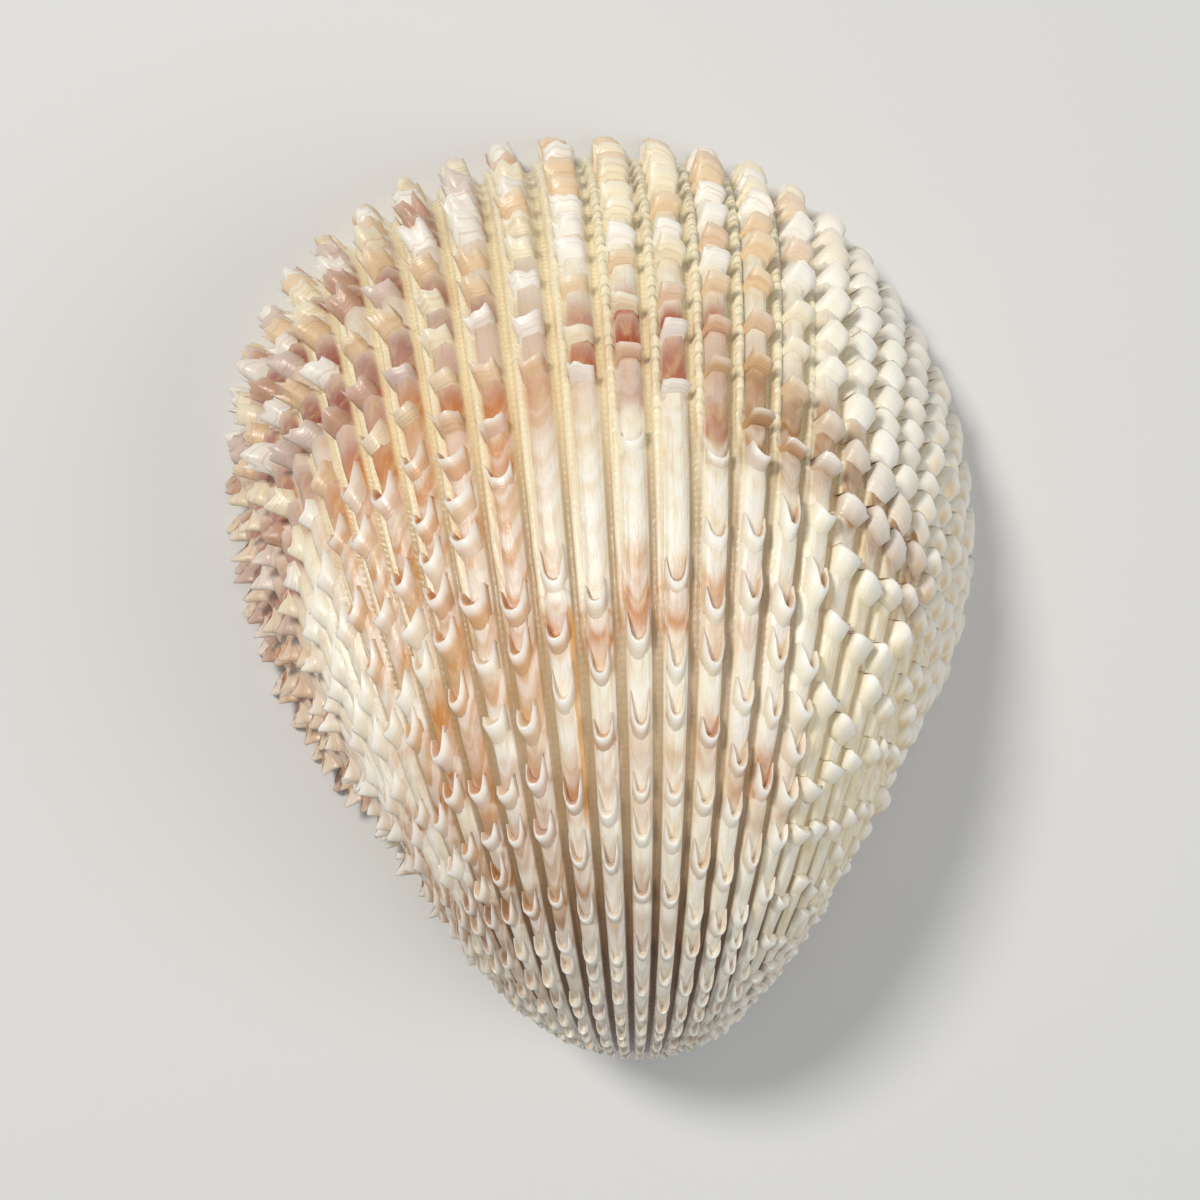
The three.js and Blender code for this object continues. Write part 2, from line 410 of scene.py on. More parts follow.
def make_valve():
    columns = RIBS * RIB_COLUMNS + 2 * STRIP_COLUMNS
    rows = OUT_ROWS + RIM_ROWS + IN_ROWS
    bm = bmesh.new()
    bmesh.ops.create_grid(bm, x_segments=columns, y_segments=rows, size=1)
    layers = [bm.verts.layers.float.new(name) for name in MARKS]
    for vertex in bm.verts:
        i = round((vertex.co.x + 1) / 2 * columns)
        j = round((vertex.co.y + 1) / 2 * rows)
        point, *values = valve_vertex(i, j)
        vertex.co = point
        for layer, value in zip(layers, values):
            vertex[layer] = value
    bmesh.ops.remove_doubles(bm, verts=bm.verts[:], dist=MERGE)
    bmesh.ops.recalc_face_normals(bm, faces=bm.faces[:])
    return finish_mesh(bm, "cockle_valve")


def finish_mesh(bm, name):
    """Makes an object of a bmesh, with smooth shading."""
    mesh = bpy.data.meshes.new(name)
    for face in bm.faces:
        face.smooth = True
    bm.to_mesh(mesh)
    bm.free()
    piece = bpy.data.objects.new(name, mesh)
    bpy.context.scene.collection.objects.link(piece)
    return piece


# The kinds of scale. half is half the width, as a share of a usual one. rise is the height, arms
# how far the ends reach forward, ramp the length of the back, edge the thickness of the rim, all
# in mm on a full-grown rib. bow is how square the bend to the arms is, drop how much lower the
# arms are and hold how late they drop, corner raises the front side, flare widens the top on the
# front side, taper narrows it, swing and lean tip it to the front side and forward, round makes
# the back bulge, ragged breaks its edge, hood narrows the foot of the back, and lop keeps the rear
# side tall and short and makes the front arm long.
PLATE = dict(half=0.95, rise=1.3, arms=0.5, bow=2.0, drop=0.1, hold=2.5, corner=-0.25, flare=0.05,
             taper=0.0, swing=-0.1, lean=0.15, ramp=0.8, round=1.0, edge=0.14, ragged=0.36,
             hood=0.0, lop=0.0)
TILE = dict(half=0.96, rise=1.35, arms=0.2, bow=2.0, drop=0.0, hold=2.5, corner=-0.22, flare=0.2,
            taper=0.0, swing=0.04, lean=0.12, ramp=0.4, round=1.0, edge=0.1, ragged=0.02,
            hood=0.0, lop=0.0)
THORN = dict(half=0.8, rise=1.4, arms=0.7, bow=2.2, drop=0.6, hold=2.0, corner=-0.35, flare=0.0,
             taper=0.55, swing=-0.3, lean=-0.25, ramp=1.3, round=1.0, edge=0.3, ragged=0.1,
             hood=0.1, lop=0.2)
KNOB = dict(half=1.12, rise=0.8, arms=0.4, bow=2.0, drop=0.55, hold=2.5, corner=0.0, flare=0.1,
            taper=0.1, swing=0.1, lean=0.1, ramp=1.2, round=0.55, edge=0.4, ragged=0.02,
            hood=0.3, lop=0.0)
FAN = dict(half=1.5, rise=0.85, arms=0.4, bow=2.0, drop=0.25, hold=3.5, corner=-0.28, flare=0.4,
           taper=0.1, swing=0.2, lean=0.0, ramp=1.7, round=0.7, edge=0.3, ragged=0.04,
           hood=0.4, lop=0.0)
CUP = dict(half=0.86, rise=0.62, arms=2.2, bow=2.3, drop=1.0, hold=4.0, corner=-0.05, flare=0.0,
           taper=0.0, swing=0.0, lean=0.2, ramp=1.1, round=1.2, edge=0.4, ragged=0.04,
           hood=0.0, lop=0.1)
BEAK_CUP = dict(half=1.05, rise=0.7, arms=1.5, bow=2.3, drop=1.05, hold=2.6, corner=-0.3, flare=0.0,
                taper=0.0, swing=-0.35, lean=0.15, ramp=1.4, round=1.1, edge=0.42, ragged=0.05,
                hood=0.1, lop=0.25)
# Rows of a scale's mesh, up its back and down its front: the height, from the sunk foot to the tip,
# and -1 for the back or 1 for the front
SCALE_ROWS = ((-0.3, 0), (0.0, -1), (0.5, -1), (1.0, -0.5), (1.0, 0.5), (0.5, 1), (0.0, 1), (-0.3, 0))
SCALE_ACROSS = 8
# Half the width of a usual scale, as a share of the distance from rib to rib
SCALE_HALF = 0.3
# How deep the foot of a scale is sunk in the rib, and how far a scale stays above the floor
SINK = 0.3
FLOOR_GAP = 0.03
# The foot of a scale follows the rib to this far from its middle
RIB_EDGE = 0.42
# Edges of a scale that bend more than this angle, in radians, are sharp
CRISP = 1.3
ROUNDED = 2.2


def mixed(kinds):
    """One kind of scale between several, each with its weight."""
    total = sum(weight for _, weight in kinds)
    return {key: sum(kind[key] * weight for kind, weight in kinds) / total for key in PLATE}


def scale_kind(psi, phi):
    """What a scale is like at a place of the shell."""
    rear = 1 - smooth(-1.5, -1.15, psi)
    front = smooth(0.5, 0.85, psi)
    middle = (1 - rear) * (1 - front)
    old = smooth(0.71, 0.85, phi + 0.18 * smooth(-0.4, -0.8, psi))
    beaked = (1 - smooth(-0.5, -0.2, psi)) * (1 - smooth(1.3, 1.6, phi))
    tile = smooth(-0.3, 0.0, psi)
    knob = max(smooth(0.95, 1.2, psi), 1 - smooth(0.5, 0.62, phi))
    new = middle * (1 - old)
    return mixed([
        (THORN, rear), (FAN, front * (1 - knob)), (KNOB, front * knob),
        (PLATE, new * (1 - tile)), (TILE, new * tile),
        (CUP, middle * old * (1 - beaked)), (BEAK_CUP, middle * old * beaked),
    ])


def add_scale(bm, layers, rib, arc, tone, draw):
    """Adds one scale, whose foot follows the rib it stands on."""
    phi, psi = phi_at(arc), rib_psi(rib)
    kind = scale_kind(psi, phi)
    before = max(phi - GROWTH_STEP, 0)
    forward = outside(psi, before, 0) - outside(psi, before + 2 * GROWTH_STEP, 0)
    turn_length = forward.length / MM / (2 * GROWTH_STEP)
    sideways = outside(rib_psi(rib + 0.5), phi, 0) - outside(rib_psi(rib - 0.5), phi, 0)
    pitch = sideways.length / MM
    across = sideways.normalized()
    ahead = (forward - across * forward.dot(across)).normalized()
    out = across.cross(ahead)
    by_margin = 1 - smooth(0.02, 0.16, phi)
    fade = smooth(CURL_END, CURL_END - 0.45, phi) * (1 - worn_away(psi, phi))
    grown = growth(phi) ** 0.6
    half = pitch * SCALE_HALF * kind["half"] * draw.uniform(0.9, 1.1) * (1 - 0.12 * by_margin)
    rise = kind["rise"] * grown * draw.uniform(0.75 - 0.2 * smooth(0.7, 0.85, phi), 1.15)
    rise *= fade * (1 - 0.35 * by_margin) * (1 - 0.4 * smooth(0.7, 1.0, psi) * smooth(1.0, 1.2, phi))
    rise *= 1 - 0.25 * smooth(0.4, 0.55, phi) * (1 - smooth(0.7, 0.8, phi))
    arms = kind["arms"] * grown * draw.uniform(0.75, 1.3)
    ramp = kind["ramp"] * grown * draw.uniform(0.8, 1.25)
    corner = (kind["corner"] + draw.uniform(-0.15, 0.15)) * (1 - by_margin)
    swing = kind["swing"] + draw.uniform(-0.12, 0.12)
    drop = blend(kind["drop"], max(kind["drop"], 0.4), by_margin)
    skew = draw.uniform(-0.2, 0.2)
    shift = draw.random() * 50
    rows = len(SCALE_ROWS) - 1
    grid = bmesh.ops.create_grid(bm, x_segments=SCALE_ACROSS, y_segments=rows, size=1)
    for vertex in grid["verts"]:
        a = vertex.co.x
        b, front = SCALE_ROWS[round((vertex.co.y + 1) / 2 * rows)]
        up = max(b, 0)
        ragged = kind["ragged"] * 2 * noise.noise(Vector((a * 2.2, shift, tone)))
        kept = 1 - 0.7 * kind["lop"] * max(-a, 0)
        tall = rise * (1 - drop * kept * abs(a) ** kind["hold"] + ragged) * (1 + corner * a)
        body = sqrt(max(0.0, 1 - a ** 6))
        flare = kind["flare"] * max(a, 0) - kind["taper"]
        x = half * sin(a * pi / 2) * (1 + flare * up) + swing * rise * up * up
        if front < 0:
            x *= 1 - kind["hood"] * (1 - up)
        y = arms * abs(a) ** kind["bow"] * (1 + 0.5 * kind["lop"] * a)
        y += kind["lean"] * rise * up + skew * x
        y += front * kind["edge"] / 2 * body * grown
        x -= front * kind["edge"] * 0.6 * a * abs(a) * body * grown
        if front < 0:
            y -= ramp * body * (1 - b) ** kind["round"]
        elif front > 0:
            y += 0.2 * ramp * body * (1 - b)
        sink = SINK * grown
        z = -sink + (sink + max(tall, -0.5 * sink)) * b
        on_rib = clamp(x / pitch, -RIB_EDGE, RIB_EDGE)
        age = max(phi - y / turn_length, 0)
        place = rib_psi(rib + on_rib)
        foot = outside_lift(place, rib + on_rib, 0, age)
        foot = blend(foot, outside_lift(psi, rib, 0, age), 0.6 * up)
        rest = ahead * (y - (phi - age) * turn_length) + across * (x - on_rib * pitch)
        vertex.co = outside(place, age, foot) + (rest + out * z) * MM
        vertex.co.z = max(vertex.co.z, FLOOR_GAP * MM)
        for layer, value in zip(layers, (psi, rib, phi, arc, up, tone, front, a)):
            vertex[layer] = value


SCALE_MARKS = ("psi", "rib", "age", "arc", "tip", "tone", "front", "side")


def make_scales(name, first_rib, last_rib, crease, seed):
    draw = random.Random(seed)
    bm = bmesh.new()
    layers = [bm.verts.layers.float.new(mark) for mark in SCALE_MARKS]
    for rib in range(first_rib, last_rib + 1):
        for arc, tone in SCALES[rib]:
            add_scale(bm, layers, rib, arc, tone, draw)
    bmesh.ops.remove_doubles(bm, verts=bm.verts[:], dist=MERGE)
    bmesh.ops.recalc_face_normals(bm, faces=bm.faces[:])
    scales = finish_mesh(bm, name)
    scales.data.set_sharp_from_angle(angle=crease)
    return scales


class Graph:
    """Adds shader nodes to a material and links them, in few words."""

    def __init__(self, name):
        self.material = bpy.data.materials.new(name)
        self.material.use_nodes = True
        self.tree = self.material.node_tree
        self.shader = self.tree.nodes["Principled BSDF"]

    def put(self, socket, value):
        if isinstance(value, bpy.types.NodeSocket):
            self.tree.links.new(value, socket)
        else:
            socket.default_value = value

    def attribute(self, name):
        node = self.tree.nodes.new("ShaderNodeAttribute")
        node.attribute_name = name
        return node.outputs["Fac"]

    def math(self, operation, a, b=0.0, c=0.0):
        node = self.tree.nodes.new("ShaderNodeMath")
        node.operation = operation
        for socket, value in zip(node.inputs, (a, b, c)):
            self.put(socket, value)
        return node.outputs[0]

    def step(self, value, low, high):
        """Rises from 0 at low to 1 at high, also where high is the lower value."""
        node = self.tree.nodes.new("ShaderNodeMapRange")
        node.interpolation_type = "SMOOTHSTEP"
        turned = high < low
        self.put(node.inputs["Value"], value)
        self.put(node.inputs["From Min"], min(low, high))
        self.put(node.inputs["From Max"], max(low, high))
        self.put(node.inputs["To Min"], float(turned))
        self.put(node.inputs["To Max"], float(not turned))
        return node.outputs["Result"]

    def band(self, value, start, end, soft):
        """1 between start and end, with soft edges."""
        return self.math("MULTIPLY", self.step(value, start - soft, start + soft),
                         self.step(value, end + soft, end - soft))

    def vector(self, x, y, z=0.0):
        node = self.tree.nodes.new("ShaderNodeCombineXYZ")
        for socket, value in zip(node.inputs, (x, y, z)):
            self.put(socket, value)
        return node.outputs[0]

    def noise(self, vector, scale, detail=2.0, roughness=0.5):
        node = self.tree.nodes.new("ShaderNodeTexNoise")
        self.put(node.inputs["Vector"], vector)
        self.put(node.inputs["Scale"], scale)
        self.put(node.inputs["Detail"], detail)
        self.put(node.inputs["Roughness"], roughness)
        return node.outputs["Fac"]

    def mix(self, share, a, b, kind="MIX"):
        """Colour a, with a share of colour b mixed in."""
        node = self.tree.nodes.new("ShaderNodeMix")
        node.data_type = "RGBA"
        node.blend_type = kind
        self.put(node.inputs["Factor"], share)
        self.put(node.inputs["A"], a)
        self.put(node.inputs["B"], b)
        return node.outputs["Result"]

    def mix_values(self, share, a, b):
        """As mix, for numbers."""
        node = self.tree.nodes.new("ShaderNodeMix")
        self.put(node.inputs["Factor"], share)
        self.put(node.inputs["A"], a)
        self.put(node.inputs["B"], b)
        return node.outputs["Result"]

    def bump(self, height):
        """Tilts the surface as a relief of this height would, in mm."""
        node = self.tree.nodes.new("ShaderNodeBump")
        self.put(node.inputs["Height"], height)
        self.put(node.inputs["Distance"], MM)
        self.put(node.inputs["Strength"], 1.0)
        return node.outputs["Normal"]


def colour(code):
    """A colour written as in a paint box, such as f3e6c6, as the shader wants it."""
    parts = [int(code[i:i + 2], 16) / 255 for i in (0, 2, 4)]
    linear = [p / 12.92 if p <= 0.04045 else ((p + 0.055) / 1.055) ** 2.4 for p in parts]
    return (*linear, 1.0)


# Heights of the fine relief
LINE_HEIGHT = 0.014
BEAD_HEIGHT = 0.045
GRAIN_HEIGHT = 0.057
SCALE_LINE_HEIGHT = 0.003

# Each colour band: where it starts and ends in PHI, how soft its edges are, its colour, how much
# of it there is outside the hollows, and where round the margin it fades in and out
BANDS = [
    (0.02, 0.60, 0.08, "ad7266", 0.30, (-2.4, -1.9), (-1.15, -0.8)),
    (0.18, 0.55, 0.06, "984636", 0.22, (-1.3, -1.0), (-0.45, -0.1)),
    (0.54, 0.70, 0.03, "a9461a", 0.38, (-1.1, -0.8), (0.25, 0.5)),
    (0.64, 0.80, 0.04, "cc8444", 0.70, (-1.2, -0.9), (-0.3, -0.05)),
    (0.62, 0.77, 0.03, "a66f30", 0.85, (0.15, 0.4), (1.15, 1.4)),
    (0.92, 1.05, 0.03, "c88040", 0.50, (-0.9, -0.5), (0.3, 0.6)),
    (0.80, 1.17, 0.04, "cf8c46", 0.75, (-1.15, -0.95), (-0.4, -0.15)),
    (1.16, 1.30, 0.04, "c27a38", 0.50, (-1.5, -1.2), (0.5, 0.8)),
    (1.26, 1.55, 0.06, "b4753a", 0.70, (-2.0, -1.6), (-0.4, -0.1)),
    (1.40, 1.85, 0.08, "a0662c", 0.45, (-2.0, -1.6), (-0.1, 0.4)),
]


def number_of(g, rib):
    """The whole number of the rib that a place is nearest to."""
    return g.math("FLOOR", g.math("ADD", rib, 0.5))


def shell_colour(g, hollow, cell):
    """The colours of the outside, strongest in the hollows, before what a groove, a cord or a
    scale adds. hollow and cell say how deep in a hollow a place is, and which hollow it is."""
    psi, rib, age = g.attribute("psi"), g.attribute("rib"), g.attribute("age")
    number = number_of(g, rib)
    on_rib = g.vector(g.math("MULTIPLY", number, 3.7), g.math("MULTIPLY", age, 5.0))
    wander = g.math("SUBTRACT", g.noise(on_rib, 1.0, 1.0), 0.5)
    old = g.math("MULTIPLY_ADD", wander, 0.18, age)
    ivory = g.mix(g.noise(g.vector(psi, age), 3.0), colour("f3e8cc"), colour("fbf7ec"))
    warm = g.step(g.noise(g.vector(rib, g.math("MULTIPLY", age, 12.0), 3.0), 1.1, 3.0), 0.52, 0.75)
    ivory = g.mix(g.math("MULTIPLY", warm, 0.4), ivory, colour("e8c692"))
    white = g.step(psi, 0.4, 0.9)
    cream = g.mix(g.step(age, 0.6, 0.8), colour("faf6ea"), colour("f2e3b9"))
    result = g.mix(g.math("MULTIPLY", white, 0.75), ivory, cream)
    rear = g.step(psi, -1.2, -1.7)
    result = g.mix(g.math("MULTIPLY", rear, 0.5), result, colour("cdab98"))
    chosen = g.math("MULTIPLY_ADD", g.step(age, 0.75, 0.95), -0.22, cell)
    depth = g.mix_values(g.step(age, 0.7, 0.85), hollow, g.step(hollow, 0.15, 0.5))
    filled = g.math("MULTIPLY", g.step(chosen, 0.2, 0.5), depth)
    patch = g.vector(g.math("MULTIPLY", number, 5.3), g.math("MULTIPLY", age, 9.0), 4.0)
    patch = g.step(g.noise(patch, 1.0, 2.0), 0.36, 0.56)
    patch = g.math("MAXIMUM", patch, g.step(age, 1.0, 0.8))
    for start, end, soft, code, wash, fade_in, fade_out in BANDS:
        here = g.math("MULTIPLY", g.step(psi, *fade_in), g.step(psi, fade_out[1], fade_out[0]))
        share = g.math("MULTIPLY", g.band(old, start, end, soft), here)
        washed = g.math("MULTIPLY", patch, wash)
        share = g.math("MULTIPLY", share, g.math("MULTIPLY_ADD", filled, 1 - wash, washed))
        result = g.mix(share, result, colour(code))
    pearl = g.math("MULTIPLY", g.step(old, 1.4, 1.7), g.step(psi, -0.8, -0.3))
    return g.mix(g.math("MULTIPLY", pearl, 0.6), result, colour("e2ddd6"))


def outside_colour(g, rib, age, psi, arc, across, cord, groove):
    """The colours of the valve's outside, with what ribs and cords add and the painted shade of the
    grooves. across is the place across a rib, and cord and groove say how much of them there is."""
    bend = g.math("MULTIPLY_ADD", g.math("MULTIPLY", across, across), 16.0, arc)
    fading = g.math("MULTIPLY_ADD", g.step(age, 0.62, 0.75), 0.4, 0.35)
    hollow = g.math("POWER", g.attribute("hollow"), fading)
    result = shell_colour(g, hollow, g.attribute("cell"))
    mottled = g.vector(g.math("MULTIPLY", rib, 4.0), g.math("MULTIPLY", bend, 0.8), 7.0)
    mottled = g.step(g.noise(mottled, 1.0, 2.0), 0.45, 0.7)
    result = g.mix(g.math("MULTIPLY", mottled, 0.4), result, colour("e2c998"))
    nested = g.vector(g.math("MULTIPLY", number_of(g, rib), 5.9), g.math("MULTIPLY", bend, 0.7))
    nested = g.math("MULTIPLY", g.step(g.noise(nested, 1.0), 0.38, 0.66), g.step(age, 0.6, 0.8))
    result = g.mix(g.math("MULTIPLY", nested, 0.55), result, colour("fdfaf3"))
    yellow = g.math("MULTIPLY_ADD", g.step(age, 1.0, 0.7), 0.55, 0.3)
    result = g.mix(g.math("MULTIPLY", cord, yellow), result, colour("fbf1cf"))
    # Painted shade in the grooves: tan, lighter on the front ribs and dark brown towards the beak.
    # Partly the grooves' own colour, mostly the shade that falls deep in them.
    groove_shade = g.mix(g.step(age, 0.6, 0.9), colour("f2e2b6"), colour("b0946c"))
    groove_shade = g.mix(g.math("MULTIPLY", g.step(psi, 0.5, 0.8), 0.7), groove_shade, colour("e0c798"))
    groove_shade = g.mix(g.step(age, 1.15, 1.65), groove_shade, colour("5c3a20"))
    groove_shade_share = g.math("MULTIPLY_ADD", g.step(age, 1.05, 1.5), 0.12, 0.83)
    result = g.mix(g.math("MULTIPLY", groove, groove_shade_share), result, groove_shade)
    streak = g.vector(g.math("MULTIPLY", rib, 9.0), g.math("MULTIPLY", arc, 0.12))
    streak = g.step(g.noise(streak, 1.0, 3.0, 0.6), 0.5, 0.75)
    result = g.mix(g.math("MULTIPLY", streak, 0.35), result, colour("cf9a5c"))
    # The one long golden streak, down the side of rib 18
    place = g.noise(g.vector(arc, 4.0), 0.7, 2.0)
    place = g.math("MULTIPLY_ADD", place, 0.14, g.math("ADD", rib, -0.07))
    stain = g.math("MULTIPLY", g.band(place, 18.27, 18.38, 0.03), g.band(age, 1.0, 1.32, 0.03))
    return g.mix(g.math("MULTIPLY", stain, 0.75), result, colour("e2a13c"))


def inside_colour(g, age, psi, relief, inner):
    """Cream inside, warmer under the beak, and a little darker on the muscle scars."""
    result = g.mix(g.noise(g.vector(psi, age), 2.0, 3.0), colour("f5ecdc"), colour("ecd8bc"))
    result = g.mix(g.step(age, 0.9, 1.9), result, colour("e3b894"))
    on_scar = g.math("MULTIPLY", relief, g.math("MULTIPLY", g.step(inner, 1.5, 2.0), 0.35))
    return g.mix(on_scar, result, colour("d3bb9b"))


def fine_relief(g, rib, age, psi, arc, inner, cord, groove):
    """Growth lines, beads on the cords and a grain, too fine for the mesh."""
    wavy = g.vector(g.math("MULTIPLY", number_of(g, rib), 7.1), g.math("MULTIPLY", arc, 0.5))
    wavy = g.math("MULTIPLY", g.noise(wavy, 1.0), 9.0)
    lines = g.math("SINE", g.math("MULTIPLY_ADD", arc, 14.0, wavy))
    beads = g.math("SINE", g.math("MULTIPLY_ADD", arc, 6.3, wavy))
    beaded = g.math("MULTIPLY", g.step(psi, -0.25, 0.0), g.step(age, 0.85, 0.6))
    on_side = g.math("MULTIPLY_ADD", g.math("MAXIMUM", cord, groove), 0.8, 0.2)
    younger = g.math("MULTIPLY_ADD", g.step(age, 0.9, 0.6), 0.7, 0.3)
    lined = g.math("MULTIPLY", g.math("MULTIPLY", on_side, younger), LINE_HEIGHT)
    beaded = g.math("MULTIPLY", g.math("MULTIPLY", beaded, cord), BEAD_HEIGHT)
    height = g.math("MULTIPLY_ADD", beads, beaded, g.math("MULTIPLY", lines, lined))
    height = g.math("MULTIPLY", height, g.step(inner, 0.5, 0.0))
    grain = g.vector(g.math("MULTIPLY", rib, 14.0), g.math("MULTIPLY", arc, 1.2))
    return g.bump(g.math("MULTIPLY_ADD", g.noise(grain, 1.0, 4.0, 0.6), GRAIN_HEIGHT, height))


def valve_material():
    g = Graph("valve_shell")
    relief, inner, arc = g.attribute("relief"), g.attribute("inner"), g.attribute("arc")
    rib, age, psi = g.attribute("rib"), g.attribute("age"), g.attribute("psi")
    across = g.math("SUBTRACT", rib, g.math("ROUND", rib))
    cord = g.math("MAXIMUM", g.band(across, -0.48, -0.26, 0.03), g.step(across, 0.47, 0.5))
    cord = g.math("MULTIPLY", cord, g.step(relief, 0.2, 0.45))
    # groove says where the grooves are, for their painted shade and their fine lines
    groove = g.step(relief, 0.45, 0.1)
    outer_colour = outside_colour(g, rib, age, psi, arc, across, cord, groove)
    inner_colour = inside_colour(g, age, psi, relief, inner)
    base = g.mix(g.step(inner, 0.2, 0.6), outer_colour, inner_colour)
    g.put(g.shader.inputs["Base Color"], base)
    rough = g.noise(g.vector(g.math("MULTIPLY", rib, 3.0), arc), 1.3, 3.0)
    rough = g.math("MULTIPLY_ADD", rough, 0.3, 0.15)
    rough = g.math("SUBTRACT", rough, g.math("MULTIPLY", g.step(inner, 1, 2), 0.1))
    g.put(g.shader.inputs["Roughness"], rough)
    g.put(g.shader.inputs["Normal"], fine_relief(g, rib, age, psi, arc, inner, cord, groove))
    soften(g)
    return g.material


def soften(g):
    """Lets a little light into the shell, as its thin edges show."""
    g.shader.inputs["Subsurface Weight"].default_value = 0.12
    g.shader.inputs["Subsurface Scale"].default_value = 0.8 * MM
    g.shader.inputs["Subsurface Radius"].default_value = (1.0, 0.8, 0.6)


def scale_material():
    """The scales take the colour of the shell where they stand, and each adds a tone of its own."""
    g = Graph("scale_shell")
    tip, tone, front = g.attribute("tip"), g.attribute("tone"), g.attribute("front")
    rib, psi, age = g.attribute("rib"), g.attribute("psi"), g.attribute("age")
    side = g.attribute("side")
    base = shell_colour(g, g.step(front, 0.0, 1.0), tone)
    own = g.mix(g.step(tone, 0.26, 0.3), colour("e3bd8a"), colour("f5e9c6"))
    own = g.mix(g.step(tone, 0.5, 0.54), own, colour("fbf8f0"))
    own = g.mix(g.step(tone, 0.88, 0.9), own, colour("d9ac82"))
    own = g.mix(g.math("MULTIPLY", g.step(psi, 0.4, 0.7), 0.85), own, colour("fbf7ea"))
    own_share = g.math("MULTIPLY_ADD", g.step(age, 0.75, 0.6), 0.45, 0.2)
    own_front = g.math("MULTIPLY_ADD", g.step(tip, 0.1, 0.7), 0.4, 0.2)
    own_share = g.math("MAXIMUM", own_share, g.math("MULTIPLY", own_front, g.step(psi, 0.3, 0.6)))
    less_at_rear = g.math("MULTIPLY_ADD", g.step(psi, -1.2, -1.7), -0.5, 1.0)
    own_share = g.math("MULTIPLY", own_share, less_at_rear)
    base = g.mix(own_share, base, own)
    hollow = g.math("MULTIPLY", g.step(front, 0.4, 1.0), g.band(side, -0.85, 0.85, 0.15))
    deep = g.math("MULTIPLY_ADD", g.step(age, 1.15, 0.85), 0.55, 0.1)
    base = g.mix(g.math("MULTIPLY", hollow, deep), base, colour("cf8c46"), "MULTIPLY")
    heart = g.math("MULTIPLY", g.band(tip, 0.3, 0.8, 0.2), g.band(side, -0.35, 0.35, 0.3))
    heart = g.math("MULTIPLY", heart, g.step(psi, 0.9, 1.3))
    base = g.mix(g.math("MULTIPLY", heart, 0.65), base, colour("deb974"))
    odd = g.math("MULTIPLY", g.step(tone, 0.68, 0.72), g.step(psi, -0.2, -0.5))
    odd = g.math("MULTIPLY", odd, g.step(age, 0.75, 0.6))
    base = g.mix(g.math("MULTIPLY", odd, 0.5), base, colour("a87464"))
    layers = g.vector(g.math("MULTIPLY", tip, 9.0), g.math("MULTIPLY", tone, 90.0),
                      g.math("MULTIPLY", side, 0.1))
    layers = g.step(g.noise(layers, 1.0, 3.0), 0.5, 0.66)
    layers = g.math("MULTIPLY", layers, g.step(psi, 0.6, 0.4))
    layers = g.math("MULTIPLY", layers, g.step(age, 0.78, 0.7))
    base = g.mix(g.math("MULTIPLY", layers, 0.3), base, colour("c08c54"))
    rim = g.step(g.math("MULTIPLY_ADD", g.step(front, 0.4, 1.0), -0.3, tip), 0.6, 1.0)
    pale = g.math("MULTIPLY", rim, g.math("MULTIPLY_ADD", g.step(age, 0.6, 0.8), 0.6, 0.2))
    base = g.mix(pale, base, colour("fdf9f0"))
    g.put(g.shader.inputs["Base Color"], base)
    place = g.vector(g.math("MULTIPLY", tone, 40.0), g.math("MULTIPLY", tip, 2.0), rib)
    rough = g.math("MULTIPLY_ADD", g.noise(place, 2.0, 2.0), 0.28, 0.2)
    g.put(g.shader.inputs["Roughness"], rough)
    wavy = g.math("MULTIPLY", g.noise(place, 3.0), 8.0)
    lines = g.math("SINE", g.math("MULTIPLY_ADD", tip, 40.0, wavy))
    g.put(g.shader.inputs["Normal"], g.bump(g.math("MULTIPLY", lines, SCALE_LINE_HEIGHT)))
    soften(g)
    return g.material


# The camera, as the shell was seen: nearly straight above it
VIEW_CENTRE = Vector((0, 0.45, 0.2)) * HEIGHT
VIEW_TILT = -0.1132
VIEW_ROLL_Y = 0.034
VIEW_ROLL_Z = -0.0065
VIEW_SHIFT = Vector((-0.0136, -0.0624, 0)) * HEIGHT
VIEW_DISTANCE = 2.3 * HEIGHT
NEAREST_SEEN = 10
VIEW_FOCUS = 1941 / 1200  # focal length over the width of the picture
SENSOR = 36


def make_camera():
    turn = Matrix.Rotation(VIEW_ROLL_Z, 3, "Z") @ Matrix.Rotation(VIEW_ROLL_Y, 3, "Y")
    turn = (turn @ Matrix.Rotation(VIEW_TILT, 3, "X")).transposed()
    place = VIEW_CENTRE + turn @ (VIEW_SHIFT + Vector((0, 0, VIEW_DISTANCE)))
    place += Vector((HINGE_X, HINGE_Y, 0))
    data = bpy.data.cameras.new("camera")
    data.sensor_width = SENSOR
    data.lens = VIEW_FOCUS * SENSOR
    data.clip_start = NEAREST_SEEN * MM
    camera = bpy.data.objects.new("camera", data)
    camera.matrix_world = Matrix.Translation(place * MM) @ turn.to_4x4()
    bpy.context.scene.collection.objects.link(camera)
    bpy.context.scene.camera = camera


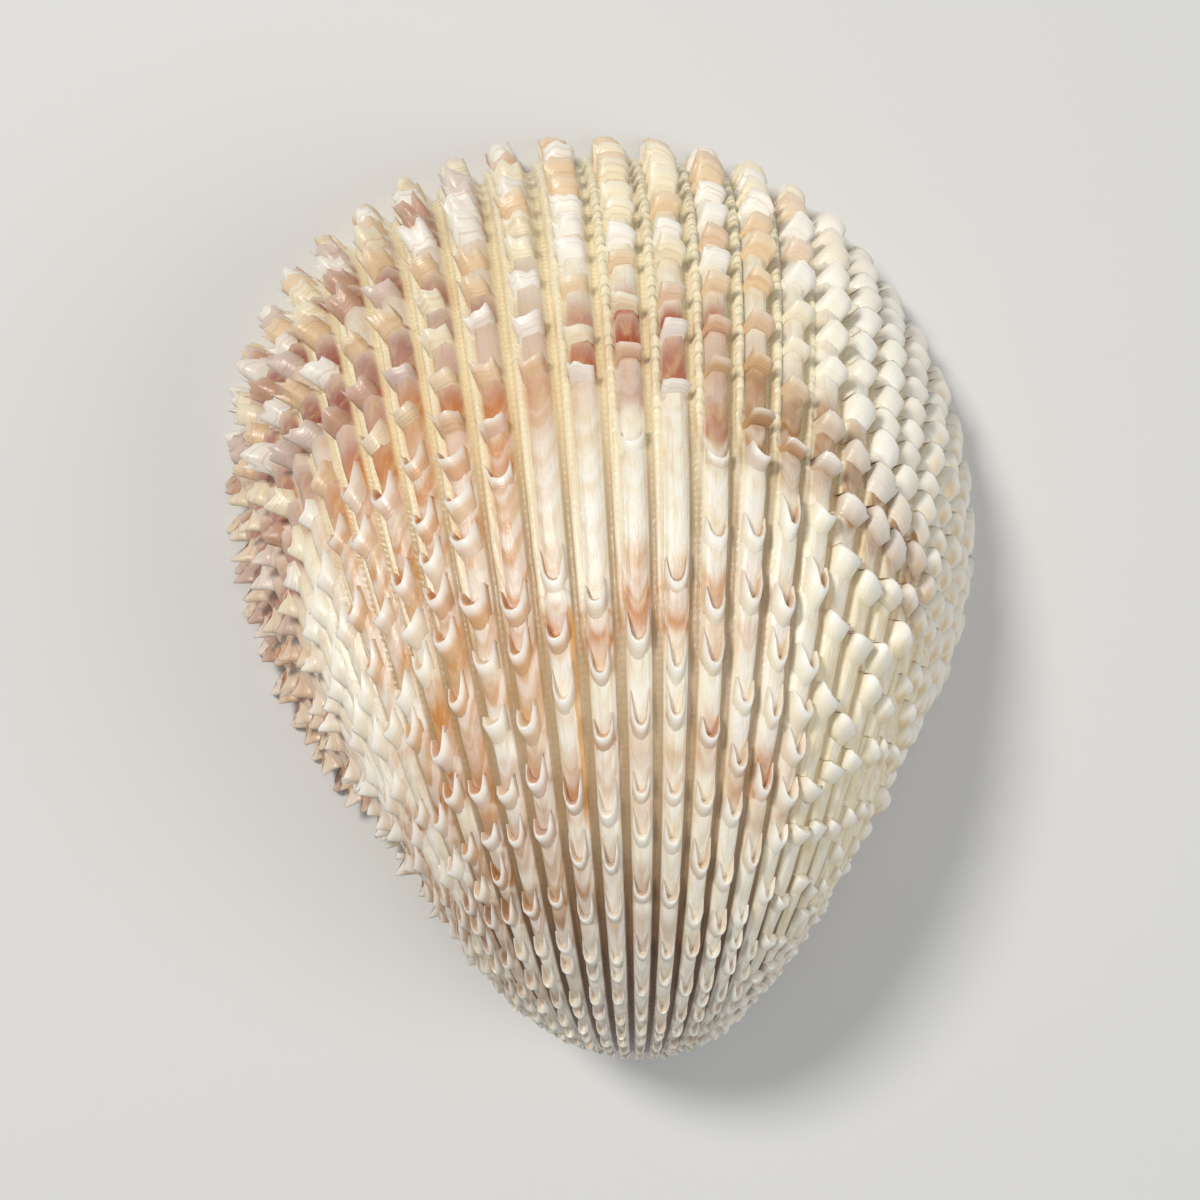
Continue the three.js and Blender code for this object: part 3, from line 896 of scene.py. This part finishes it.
# Soft lights, in metres and watts: name, place, size, power, colour
LIGHTS = (
    ("key", (-0.20, 0.13, 0.40), 0.11, 1.3, (1.0, 0.97, 0.91)),
    ("fill", (0.32, -0.12, 0.3), 0.3, 0.55, (0.97, 0.98, 1.0)),
    ("top", (0.0, 0.0, 0.6), 0.3, 0.5, (1, 0.99, 0.97)),
)
ROOM_LIGHT = (0.9, 0.93, 1.0, 1)
ROOM_STRENGTH = 0.21
FLOOR_HALF = 2000


def make_light(name, place, size, power, tint):
    """A round lamp that points at the shell."""
    data = bpy.data.lights.new(name, "AREA")
    data.shape = "DISK"
    data.size = size
    data.energy = power
    data.color = tint
    lamp = bpy.data.objects.new(name, data)
    lamp.location = place
    lamp.rotation_euler = Vector(place).to_track_quat("Z", "Y").to_euler()
    bpy.context.scene.collection.objects.link(lamp)


def make_surroundings():
    bm = bmesh.new()
    bmesh.ops.create_grid(bm, x_segments=1, y_segments=1, size=FLOOR_HALF * MM)
    floor = finish_mesh(bm, "floor")
    g = Graph("pale_floor")
    g.shader.inputs["Base Color"].default_value = colour("dcdcda")
    g.shader.inputs["Roughness"].default_value = 0.8
    floor.data.materials.append(g.material)
    bpy.context.scene.view_settings.view_transform = "Standard"
    world = bpy.data.worlds.new("studio")
    world.use_nodes = True
    background = world.node_tree.nodes["Background"]
    background.inputs["Color"].default_value = ROOM_LIGHT
    background.inputs["Strength"].default_value = ROOM_STRENGTH
    bpy.context.scene.world = world
    for light in LIGHTS:
        make_light(*light)


make_camera()
make_surroundings()

valve = make_valve()
valve.data.materials.append(valve_material())
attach(valve, "root")
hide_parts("valve")

scale_look = scale_material()
# The pieces that the scales are joined to: name, first and last rib, and how crisp their edges are
SCALE_GROUPS = (
    ("scales_rear", 0, 9, ROUNDED),
    ("scales_middle_rear", 10, 18, CRISP),
    ("scales_middle_front", 19, 25, CRISP),
    ("scales_front", 26, RIBS - 1, ROUNDED),
)
for seed, (name, first, last, crease) in enumerate(SCALE_GROUPS):
    scales = make_scales(name, first, last, crease, seed)
    scales.data.materials.append(scale_look)
    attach(scales, "root")
